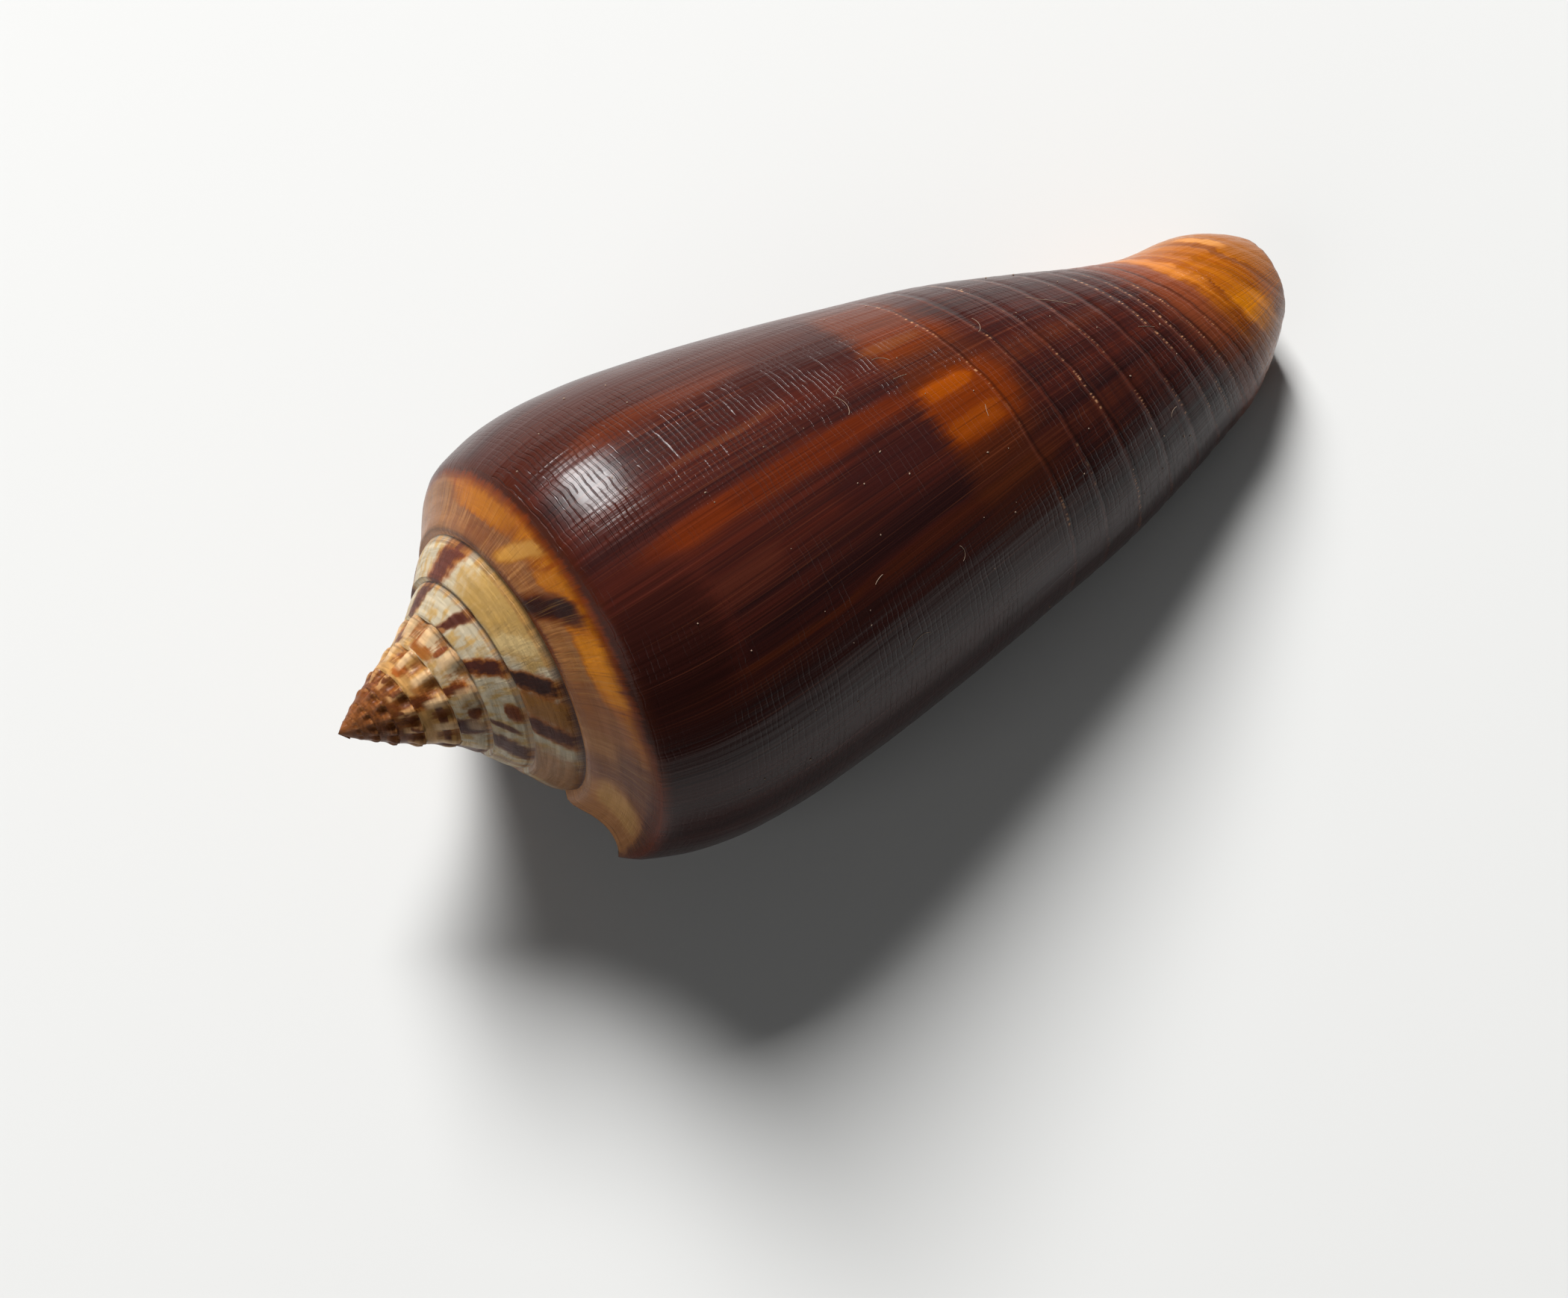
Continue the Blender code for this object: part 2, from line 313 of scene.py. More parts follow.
class Builder:
    """Gathers vertices and faces, with the coil place of each face corner."""

    def __init__(self):
        self.points = []
        self.count = 0
        self.faces = []
        self.coil = []
        self.slots = []

    def add(self, points):
        """Adds points and gives their numbers."""
        points = np.atleast_2d(points)
        self.points.append(points)
        self.count += len(points)
        return np.arange(self.count - len(points), self.count)

    def pinched_column(self, points, corner):
        """Adds a column of the hollow, whose first rows all fall on one corner."""
        column = np.full(len(points), corner)
        column[CAVITY_FIRST_ROW:] = self.add(points[CAVITY_FIRST_ROW:])
        return column

    def all_points(self):
        """All the points so far, in one array."""
        return np.concatenate(self.points)

    def face(self, corners, coil, slot):
        """Adds one face, leaving out corners that are the same vertex."""
        kept = [i for i, corner in enumerate(corners) if corner not in corners[:i]]
        if len(kept) > 2:
            self.faces.append([int(corners[i]) for i in kept])
            self.coil.extend(coil[i] for i in kept)
            self.slots.append(slot)

    def strip(self, near, far, back_near, back_far, across, slot):
        """Joins two columns that have the same rows."""
        near, far, across = near.tolist(), far.tolist(), across.tolist()
        for j in range(len(near) - 1):
            corners = (near[j], near[j + 1], far[j + 1], far[j])
            here, after = across[j], across[j + 1]
            coil = ((back_near, here), (back_near, after), (back_far, after), (back_far, here))
            self.face(corners, coil, slot)

    def bridge(self, first, second, coil, slot):
        """Joins two chains of different length with triangles."""
        first, second = list(first), list(second)
        last_a, last_b = len(first) - 1, len(second) - 1
        a, b = 0, 0
        while a < last_a or b < last_b:
            next_a = (a + 1) / last_a if a < last_a else 2.0
            next_b = (b + 1) / last_b if b < last_b else 2.0
            if next_a <= next_b:
                self.face((first[a], first[a + 1], second[b]), (coil,) * 3, slot)
                a += 1
            else:
                self.face((first[a], second[b + 1], second[b]), (coil,) * 3, slot)
                b += 1


OUTSIDE, INSIDE = 0, 1


def build_wall(builder):
    """Builds the closed wall: spire, last whorl, lip, hollow behind the aperture and front end."""
    last_step = SPIRE_WHORLS * STEPS
    ramp = np.linspace(-1, 0, RAMP_ROWS)
    body = np.concatenate([
        [STEP_SHARE, 0.028, CAVITY_SHARE],
        np.linspace(CAVITY_SHARE, FRONT_ROWS_START, BODY_ROWS)[1:],
    ])
    step_row = RAMP_ROWS
    cavity_row = RAMP_ROWS + 2
    fixed_rows = np.concatenate([ramp, body])

    def full_rows(backs):
        """Places across of every row of the last whorl's columns."""
        end = end_share(backs + lip_bend(backs, np.ones_like(backs)))[:, None]
        even = np.minimum(end, EVEN_ROWS_END)
        front = FRONT_ROWS_START + (even - FRONT_ROWS_START) * np.linspace(0, 1, EVEN_ROWS + 1)[None, 1:]
        tip = even + (end - even) * np.linspace(0, 1, FRONT_ROWS - EVEN_ROWS + 1)[None, 1:]
        fixed = np.repeat(fixed_rows[None], len(backs), axis=0)
        return np.concatenate([fixed, front, tip], axis=1)

    apex = builder.add(np.zeros(3))[0]
    fine = FINE_WHORLS * STEPS
    steps = [*range(fine), *range(fine, last_step, 2), last_step]

    cavity = list(range(0, int(CAVITY_WHORLS * STEPS) + 1, CAVITY_STRIDE))
    full_steps = np.arange(0, STEPS + cavity[-1] + 1)
    across_full = full_rows(full_steps / STEPS)
    backs_full = np.repeat(full_steps[:, None] / STEPS, across_full.shape[1], axis=1)
    points_full = outer_points(backs_full, across_full)
    spire_steps = np.array([step for step in steps if step > STEPS])
    across_spire = np.repeat(fixed_rows[None, :step_row + 3], len(spire_steps), axis=0)
    backs_spire = np.repeat(spire_steps[:, None] / STEPS, across_spire.shape[1], axis=1)
    points_spire = dict(zip(spire_steps.tolist(), outer_points(backs_spire, across_spire)))

    columns, across = {}, {}
    for step in reversed(steps):
        full = step <= STEPS
        points = points_full[step] if full else points_spire[step][:step_row + 1]
        rows = across_full[step] if full else fixed_rows[:step_row + 1]
        own = builder.add(points[1:])
        above = step + STEPS
        if above > last_step:
            start = apex
        elif above in columns:
            start = columns[above][step_row]
        else:
            start = -1
        columns[step] = np.concatenate([[start], own])
        across[step] = rows

    for near, far in zip(steps, steps[1:]):
        full = near < STEPS
        count = len(across[near]) if full else step_row + 1
        near_column, far_column = columns[near][:count], columns[far][:count]
        rows = across[near][:count]
        if near_column[0] >= 0 and far_column[0] >= 0:
            builder.strip(near_column, far_column, near / STEPS, far / STEPS, rows, OUTSIDE)
            continue
        builder.strip(near_column[1:], far_column[1:], near / STEPS, far / STEPS, rows[1:], OUTSIDE)
        low = near_column[1], far_column[1]
        places = ((near / STEPS, rows[1]), (far / STEPS, rows[1]))
        if near_column[0] >= 0:
            top, beyond = near_column[0], columns[far + 1][0]
            suture = (near / STEPS, -1.0)
            builder.face((top, *low), (suture,) + places, OUTSIDE)
            builder.face((top, low[1], beyond), (suture, places[1], (far / STEPS, -1.0)), OUTSIDE)
        else:
            builder.face((far_column[0], *low), ((far / STEPS, -1.0),) + places, OUTSIDE)
    start = [apex, *columns[last_step][1:step_row + 1]]
    builder.face(start, [(SPIRE_WHORLS, -1.0)] * len(start), OUTSIDE)

    # The hollow behind the aperture
    inside, parietal = [], []
    for step in cavity:
        deeper = points_full[STEPS + step][cavity_row:]
        own = columns[STEPS][cavity_row:] if step == 0 else builder.add(deeper)
        parietal.append(own)
        points = inner_points(backs_full[step], across_full[step])
        inside.append(builder.pinched_column(points, own[0]))
    for i in range(len(cavity) - 1):
        near, far = cavity[i] / STEPS, cavity[i + 1] / STEPS
        builder.strip(inside[i], inside[i + 1], near, far, across_full[cavity[i]], INSIDE)
        rows = across_full[STEPS + cavity[i]][cavity_row:]
        builder.strip(parietal[i], parietal[i + 1], 1 + near, 1 + far, rows, INSIDE)
    builder.bridge(inside[-1], parietal[-1], (CAVITY_WHORLS, 0.5), INSIDE)

    # The lip's rounded edge, and the front end's
    rows = across[0]
    lip_outer = outer_points(np.zeros_like(rows), rows)
    lip_inner = inner_points(np.zeros_like(rows), rows)
    ahead = outer_points(np.full_like(rows, -LIP_LOOK_AHEAD), rows) - lip_outer
    ahead /= np.linalg.norm(ahead, axis=1)[:, None] + 1e-9
    chains = [columns[0]]
    for index in range(1, LIP_EDGE_CHAINS):
        t = index / LIP_EDGE_CHAINS
        points = lip_outer * (1 - t) + lip_inner * t + ahead * LIP_EDGE_BULGE * math.sin(math.pi * t)
        points[:, 0] = np.minimum(points[:, 0], LENGTH)
        column = builder.pinched_column(points, inside[0][0])
        builder.strip(chains[-1], column, 0.0, 0.0, rows, OUTSIDE if t < LINING_SHARE else INSIDE)
        chains.append(column)
    builder.strip(chains[-1], inside[0], 0.0, 0.0, rows, INSIDE)
    ends = [chain[-1] for chain in (*chains, inside[0])]
    builder.face(ends, [(0.0, 1.0)] * len(ends), OUTSIDE)
    fold = columns[STEPS][step_row:cavity_row + 1].tolist()
    for k in range(len(fold) - 2):
        builder.face((fold[k], fold[k + 1], fold[-1]), ((1.0, STEP_SHARE),) * 3, INSIDE)

    for i in range(len(cavity) - 1):
        rim = [columns[step][-1] for step in range(cavity[i], cavity[i + 1] + 1)]
        builder.bridge(rim, [inside[i][-1], inside[i + 1][-1]], (cavity[i] / STEPS, FRONT_END), OUTSIDE)
    core = [columns[step][-1] for step in range(cavity[-1], STEPS + 1)]
    core += [chain[-1] for chain in (*parietal[1:], inside[-1])]
    middle = builder.add(builder.all_points()[core].mean(axis=0))[0]
    for corner, after in zip(core, core[1:] + core[:1]):
        builder.face((corner, after, middle), ((0.5, FRONT_END),) * 3, OUTSIDE)


def to_rest(points):
    """Turns points to where the shell lies."""
    cosine, sine = math.cos(REST_TILT), math.sin(REST_TILT)
    turned = points.copy()
    turned[:, 0] = points[:, 0] * cosine + points[:, 2] * sine
    turned[:, 2] = points[:, 2] * cosine - points[:, 0] * sine
    return turned + APEX


def new_object(name, data):
    """A new object in the scene."""
    item = bpy.data.objects.new(name, data)
    bpy.context.scene.collection.objects.link(item)
    return item


def make_shell():
    """Makes the shell's mesh object, pressed flat where it lies on the floor."""
    builder = Builder()
    build_wall(builder)
    points = to_rest(builder.all_points())
    points[:, 2] = np.maximum(points[:, 2], 0.0)
    mesh = bpy.data.meshes.new("shell_skin")
    mesh.from_pydata((points * MM).tolist(), [], builder.faces)
    layer = mesh.uv_layers.new(name="coil")
    layer.data.foreach_set("uv", np.array(builder.coil, dtype=np.float32).ravel())
    mesh.polygons.foreach_set("material_index", builder.slots)
    mesh.polygons.foreach_set("use_smooth", [True] * len(mesh.polygons))
    mesh.validate()
    work = bmesh.new()
    work.from_mesh(mesh)
    bmesh.ops.recalc_face_normals(work, faces=work.faces)
    work.to_mesh(mesh)
    work.free()
    mesh.update()
    return new_object("shell_skin", mesh)


def srgb(red, green, blue):
    """Linear colour from values between 0 and 255."""
    values = [value / 255 for value in (red, green, blue)]
    linear = [v / 12.92 if v <= 0.04045 else ((v + 0.055) / 1.055) ** 2.4 for v in values]
    return (*linear, 1.0)


# Places of the mix node's factor, two colours and result
MIX_INPUTS = (0, 6, 7)
MIX_OUTPUT = 2


class Paint:
    """Short ways of writing a tree of nodes. Values are sockets, numbers or colours from 0 to 255."""

    def __init__(self, tree):
        self.tree = tree

    def node(self, kind):
        """A new shader node of a kind."""
        return self.tree.nodes.new("ShaderNode" + kind)

    def put(self, node, index, value):
        """Links a socket or sets a number or a colour on one input."""
        if isinstance(value, bpy.types.NodeSocket):
            self.tree.links.new(value, node.inputs[index])
        else:
            node.inputs[index].default_value = srgb(*value) if isinstance(value, tuple) else value

    def fill(self, node, *values):
        """Puts values on a node's inputs in turn, and gives its first output."""
        for index, value in enumerate(values):
            self.put(node, index, value)
        return node.outputs[0]

    def calc(self, operation, first, second=0.0, third=0.0):
        """One step of arithmetic."""
        node = self.node("Math")
        node.operation = operation
        return self.fill(node, first, second, third)

    def add(self, *values):
        """Sum of the values."""
        total = values[0]
        for value in values[1:]:
            total = self.calc("ADD", total, value)
        return total

    def times(self, *values):
        """Product of the values."""
        total = values[0]
        for value in values[1:]:
            total = self.calc("MULTIPLY", total, value)
        return total

    def less(self, first, second):
        """Difference of two values."""
        return self.calc("SUBTRACT", first, second)

    def most(self, first, second):
        """Larger of two values."""
        return self.calc("MAXIMUM", first, second)

    def shake(self, value, amount):
        """Turns noise around a half into noise around zero."""
        return self.calc("MULTIPLY_ADD", value, amount, -0.5 * amount)

    def rise(self, value, low, high):
        """Goes smoothly from 0 at low to 1 at high, or from 1 at high to 0 at low if high is the smaller."""
        node = self.node("MapRange")
        node.interpolation_type = "SMOOTHSTEP"
        start, end = float(low >= high), float(low < high)
        return self.fill(node, value, min(low, high), max(low, high), start, end)

    def near(self, value, middle, half_width, soft):
        """1 near a place, 0 away from it."""
        away = self.calc("ABSOLUTE", self.less(value, middle))
        return self.rise(away, half_width + soft, max(0.0, half_width - soft))

    def noise(self, along, per_along, across, per_across, detail, seed):
        """Smooth noise from about 0 to 1, with so many waves per unit along and across."""
        along, across = self.times(along, per_along), self.times(across, per_across)
        node = self.node("TexNoise")
        self.put(node, "Vector", self.fill(self.node("CombineXYZ"), along, across, seed))
        self.put(node, "Scale", 1.0)
        self.put(node, "Detail", detail)
        return node.outputs["Fac"]

    def mix(self, factor, first, second):
        """Blend of two colours."""
        node = self.node("Mix")
        node.data_type = "RGBA"
        for index, value in zip(MIX_INPUTS, (factor, first, second)):
            self.put(node, index, value)
        return node.outputs[MIX_OUTPUT]

    def tint(self, under, color, strength, *factors):
        """Lays a colour over another, at a strength times the factors."""
        return self.mix(self.times(*factors, strength), under, color)

    def coil(self):
        """Whorls back and place across, from the mesh."""
        place = self.node("UVMap")
        place.uv_map = "coil"
        apart = self.node("SeparateXYZ")
        return self.fill(apart, place.outputs[0]), apart.outputs[1]

    def marks(self, color, back, across, table, strength, ragged):
        """Lays soft marks with ragged outlines over a colour, each with a fringe of its own."""
        for middle, half, mark_color, fringe, weight in table:
            node = self.node("Group")
            node.node_tree = mark_group()
            share = self.times(strength, weight) if strength != 1.0 else weight
            color = self.fill(node, color, back, across, *middle, *half, mark_color, fringe, share, ragged)
        return color


def mark_group():
    """The group of nodes that lays one oval mark, made once."""
    if "coil_mark" in bpy.data.node_groups:
        return bpy.data.node_groups["coil_mark"]
    tree = bpy.data.node_groups.new("coil_mark", "ShaderNodeTree")
    names = (
        "Under", "Back", "Across", "Middle back", "Middle across", "Half back", "Half across",
        "Mark", "Fringe", "Strength", "Ragged",
    )
    for name in names:
        kind = "Color" if name in ("Under", "Mark", "Fringe") else "Float"
        tree.interface.new_socket(name, in_out="INPUT", socket_type="NodeSocket" + kind)
    tree.interface.new_socket("Color", in_out="OUTPUT", socket_type="NodeSocketColor")
    given = tree.nodes.new("NodeGroupInput").outputs
    p = Paint(tree)
    along = p.calc("DIVIDE", p.less(given[1], given[3]), given[5])
    over = p.calc("DIVIDE", p.less(given[2], given[4]), given[6])
    away = p.add(p.times(along, along), p.times(over, over, over, over), given[10])
    color = p.tint(given[0], given[8], given[9], p.rise(away, 2.4, 0.7))
    color = p.tint(color, given[7], given[9], p.rise(away, 1.4, 0.2))
    result = tree.nodes.new("NodeGroupOutput")
    tree.links.new(color, result.inputs[0])
    return tree


def new_material(name):
    """A new material, its nodes and its shader."""
    material = bpy.data.materials.new(name)
    material.use_nodes = True
    return material, Paint(material.node_tree), material.node_tree.nodes["Principled BSDF"]


# Gloss and fine relief of the outside: spacing across, depth in metres, lean of the streaks
ROUGHNESS = 0.24
GLOSS = {"IOR": 1.45, "Specular IOR Level": 0.18, "Coat Weight": 0.05, "Coat Roughness": 0.12}
THREAD_SPACING = 0.0076
BUMP_DEPTH = 0.00006
STREAK_LEAN = 0.060
DARK_GROOVES = 9

# Colours of the shell, from 0 to 255
SHADE = (38, 17, 16)
MAHOGANY = (64, 25, 18)
RED_BROWN = (84, 31, 13)
GOLD = (134, 74, 2)
TAN = (140, 96, 58)
CREAM = (174, 140, 84)
WHITE = (180, 166, 140)
BAR = (74, 30, 18)
BAR_PURPLE = (72, 42, 38)
FRINGE = (140, 76, 16)
DUSK = (110, 62, 36)
BLOT = (40, 16, 16)
RUST = (138, 74, 22)

# Marks on the last whorl's ramp: place back and across, half sizes, colour, fringe and strength,
# as in the tables after it
RAMP_MARKS = (
    ((0.300, -0.97), (0.070, 0.12), (96, 38, 10), (118, 62, 26), 0.8),
    ((0.215, -0.62), (0.028, 0.32), (132, 76, 42), (140, 84, 44), 0.5),
    ((0.425, -0.80), (0.018, 0.22), (108, 58, 28), (118, 66, 30), 0.6),
    ((0.130, -0.55), (0.024, 0.40), (108, 60, 36), (118, 68, 36), 0.6),
    ((0.085, -0.52), (0.028, 0.26), (176, 128, 70), (160, 108, 58), 0.9),
    ((0.155, -0.24), (0.035, 0.30), (88, 44, 22), (110, 60, 26), 0.7),
    ((0.110, -0.06), (0.060, 0.15), (70, 30, 18), (96, 50, 26), 0.8),
    ((0.382, -0.50), (0.009, 0.30), (188, 134, 58), (164, 104, 30), 0.8),
    ((0.346, -0.36), (0.010, 0.20), (180, 106, 10), (168, 92, 4), 0.7),
    ((0.268, -0.36), (0.032, 0.19), (206, 124, 0), (178, 98, 0), 0.9),
    ((0.450, -0.38), (0.040, 0.17), (170, 98, 0), (150, 80, 0), 0.9),
    ((0.318, -0.62), (0.013, 0.36), (42, 16, 13), (96, 44, 12), 1.0),
)

# Marks on the spire
SPIRE_MARKS = (
    ((1.085, -0.5), (0.045, 0.7), TAN, TAN, 0.8),
    ((1.210, -0.4), (0.020, 0.6), (140, 92, 34), FRINGE, 0.8),
    ((1.350, -0.35), (0.060, 0.55), (164, 128, 66), CREAM, 0.8),
    ((1.302, -0.5), (0.014, 0.6), (192, 164, 112), CREAM, 0.9),
    ((1.176, -0.55), (0.013, 0.70), (72, 34, 26), FRINGE, 0.95),
    ((1.247, -0.60), (0.014, 0.66), BLOT, FRINGE, 0.95),
    ((1.468, -0.5), (0.022, 0.70), (84, 36, 26), FRINGE, 0.95),
    ((2.291, -0.5), (0.014, 0.62), (62, 22, 10), FRINGE, 1.0),
    ((2.390, -0.45), (0.011, 0.60), (70, 28, 18), DUSK, 0.95),
    ((2.385, -0.90), (0.008, 0.16), (150, 98, 54), TAN, 0.8),
    ((2.515, -0.4), (0.020, 0.60), BAR, DUSK, 0.9),
    ((2.120, -0.5), (0.020, 0.58), BAR_PURPLE, DUSK, 0.9),
    ((2.172, -0.55), (0.006, 0.38), BAR, DUSK, 0.8),
    ((2.209, -0.20), (0.014, 0.20), (104, 44, 10), FRINGE, 0.9),
    ((3.160, -0.55), (0.022, 0.56), BAR_PURPLE, DUSK, 0.95),
    ((3.200, -0.25), (0.010, 0.20), BAR, DUSK, 0.8),
    ((3.268, -0.58), (0.013, 0.50), (90, 38, 10), FRINGE, 0.95),
    ((3.405, -0.70), (0.034, 0.18), (146, 84, 28), FRINGE, 0.8),
    ((3.362, -0.28), (0.008, 0.24), (110, 52, 24), DUSK, 0.9),
    ((3.428, -0.40), (0.010, 0.34), RUST, FRINGE, 0.9),
    ((3.520, -0.40), (0.022, 0.42), (98, 54, 34), DUSK, 0.85),
    ((4.270, -0.70), (0.025, 0.40), (84, 36, 12), FRINGE, 0.9),
    ((4.170, -0.28), (0.090, 0.11), (86, 46, 26), DUSK, 0.85),
    ((4.405, -0.60), (0.022, 0.22), (142, 72, 16), FRINGE, 0.9),
    ((4.440, -0.20), (0.026, 0.09), (130, 68, 22), FRINGE, 0.8),
    ((4.312, -0.35), (0.018, 0.36), (160, 100, 42), TAN, 0.7),
)

# Lighter and darker stretches of the body, along the growth lines
BODY_MARKS = (
    ((0.432, 0.20), (0.026, 0.24), (72, 26, 12), (64, 24, 14), 0.7),
    ((0.399, 0.21), (0.010, 0.13), (94, 36, 8), (76, 29, 12), 0.8),
    ((0.412, 0.34), (0.010, 0.14), (78, 29, 12), MAHOGANY, 0.6),
    ((0.303, 0.19), (0.010, 0.12), (98, 36, 8), (78, 29, 12), 0.85),
    ((0.304, 0.36), (0.009, 0.15), (88, 31, 8), (74, 27, 12), 0.8),
    ((0.262, 0.14), (0.010, 0.08), (78, 36, 24), MAHOGANY, 0.6),
    ((0.209, 0.20), (0.005, 0.20), (82, 33, 12), MAHOGANY, 0.8),
    ((0.207, 0.45), (0.008, 0.15), (70, 28, 12), MAHOGANY, 0.8),
    ((0.347, 0.24), (0.004, 0.10), (92, 48, 28), MAHOGANY, 0.6),
    ((0.366, 0.38), (0.018, 0.14), (48, 19, 16), MAHOGANY, 0.3),
    ((0.245, 0.05), (0.050, 0.07), (34, 13, 10), MAHOGANY, 0.8),
    ((0.225, 0.38), (0.007, 0.20), (36, 15, 15), SHADE, 0.7),
    ((0.270, 0.42), (0.014, 0.10), (48, 20, 19), SHADE, 0.5),
    ((0.296, 0.68), (0.012, 0.14), (78, 32, 14), MAHOGANY, 0.8),
    ((0.212, 0.68), (0.010, 0.14), (68, 28, 16), MAHOGANY, 0.6),
)

# The amber band in the middle of the body
BAND_MARKS = (
    ((0.400, 0.53), (0.030, 0.06), (84, 34, 10), (72, 30, 12), 0.9),
    ((0.357, 0.55), (0.020, 0.08), (92, 36, 8), (80, 33, 11), 0.9),
    ((0.240, 0.55), (0.018, 0.07), (70, 29, 13), (62, 26, 14), 0.9),
    ((0.208, 0.55), (0.008, 0.08), (78, 34, 14), (66, 28, 14), 0.7),
    ((0.281, 0.545), (0.030, 0.075), (100, 38, 5), (80, 31, 8), 1.0),
    ((0.298, 0.530), (0.009, 0.040), (134, 60, 2), (106, 42, 3), 0.9),
    ((0.262, 0.530), (0.009, 0.044), (128, 56, 4), (102, 40, 5), 0.9),
    ((0.356, 0.51), (0.004, 0.06), (104, 54, 22), (92, 42, 14), 0.5),
)

# Brown lines and pale patches near the front end
TIP_MARKS = (
    ((0.380, 0.935), (0.09, 0.020), (118, 58, 36), (116, 60, 30), 0.7),
    ((0.200, 0.942), (0.030, 0.014), (160, 90, 14), (140, 74, 14), 0.8),
    ((0.300, 0.980), (0.055, 0.006), (104, 48, 8), (128, 66, 10), 0.85),
    ((0.235, 0.965), (0.032, 0.008), (112, 50, 12), (128, 66, 10), 0.7),
    ((0.400, 0.972), (0.07, 0.012), (178, 106, 34), (166, 94, 22), 0.7),
    ((0.370, 1.018), (0.10, 0.005), (124, 64, 8), (140, 76, 10), 0.7),
    ((0.370, 1.050), (0.13, 0.007), (112, 56, 8), (132, 70, 10), 0.9),
    ((0.230, 1.000), (0.050, 0.025), (196, 116, 4), (170, 96, 8), 0.8),
    ((0.430, 1.070), (0.035, 0.010), (182, 122, 56), (170, 104, 32), 0.7),
)


def body_color(p, back, across, noises):
    """Colour of the body: brown with axial streaks, an amber band, the orange front end and painted shade at
    both sides.
    """
    lines, fine, broad, hair, jitter, ripple = noises

    # Brown ground with streaks along the growth lines
    depth = p.add(p.times(fine, 0.4), p.times(broad, 0.6))
    color = p.mix(p.rise(depth, 0.34, 0.62), SHADE, MAHOGANY)
    color = p.tint(color, RED_BROWN, 0.35, p.rise(depth, 0.54, 0.72))
    edge = p.add(lines, jitter)
    streaked = p.add(0.6, p.times(p.rise(fine, 0.35, 0.60), 0.4))
    ragged = p.shake(fine, 3.0)
    color = p.marks(color, edge, across, BODY_MARKS, streaked, ragged)
    # Painted shade: darker towards the lip side, below back 0.24, where the body turns away from the lamp
    color = p.tint(color, (34, 16, 15), 0.6, p.rise(back, 0.24, 0.15))
    far = p.noise(lines, 8, across, 1.2, 2, 22)
    color = p.tint(color, RED_BROWN, 0.5, p.rise(back, 0.50, 0.62), p.rise(far, 0.42, 0.62))
    # Painted shade: darker past back 0.37, towards the left outline, to hide the floor's grey reflection
    # there
    color = p.tint(color, (40, 14, 8), 0.5, p.rise(back, 0.37, 0.44))

    # Amber band
    upper = p.rise(p.add(across, p.shake(fine, 0.070)), 0.462, 0.496)
    lower = p.rise(p.add(across, p.shake(ripple, 0.08)), 0.640, 0.575)
    band = p.mix(p.rise(back, 0.14, 0.24), (46, 25, 24), (62, 26, 16))
    band = p.mix(p.times(p.rise(back, 0.50, 0.60), p.rise(far, 0.40, 0.55)), band, (92, 42, 12))
    squared = p.shake(p.noise(lines, 110, across, 18, 2, 28), 2.2)
    band = p.marks(band, edge, p.add(across, p.shake(ripple, 0.03)), BAND_MARKS, 1.0, squared)
    color = p.tint(color, band, 0.95, upper, lower)
    color = p.tint(color, (116, 62, 38), 0.30, p.rise(hair, 0.55, 0.76))
    color = p.tint(color, (30, 12, 12), 0.45, p.rise(hair, 0.45, 0.26))

    # Spiral bands towards the front, and the front end
    stripe = p.noise(back, 2.5, p.add(across, p.shake(ripple, 0.006)), 70, 2, 15)
    dark_rows = p.times(p.rise(across, 0.60, 0.66), p.rise(across, 0.95, 0.90))
    color = p.tint(color, (38, 17, 17), 0.40, dark_rows, p.rise(stripe, 0.40, 0.60))
    color = p.tint(color, (88, 42, 28), 0.30, dark_rows, p.rise(stripe, 0.58, 0.72))
    rust = p.times(p.rise(across, 0.865, 0.930), p.add(0.55, p.times(p.rise(stripe, 0.30, 0.60), 0.45)))
    color = p.tint(color, (116, 56, 30), 0.85, rust)
    tip = p.mix(p.rise(stripe, 0.38, 0.62), (132, 66, 6), (152, 84, 12))
    tip = p.mix(p.rise(p.add(across, p.times(back, 0.10)), 1.06, 1.13), tip, GOLD)
    wander = p.add(across, p.shake(ripple, 0.034), p.shake(fine, 0.010))
    striped = p.add(0.5, p.times(p.rise(stripe, 0.3, 0.6), 0.5))
    tip = p.marks(tip, p.add(back, jitter), wander, TIP_MARKS, striped, 0.0)
    tip = p.tint(tip, (104, 52, 12), 0.5, p.rise(stripe, 0.60, 0.74))
    color = p.mix(p.rise(wander, 0.930, 0.972), color, tip)
    pale = p.times(p.rise(across, 0.93, 1.0), p.rise(back, 0.42, 0.56))
    return p.tint(color, (168, 116, 70), 0.5, pale)


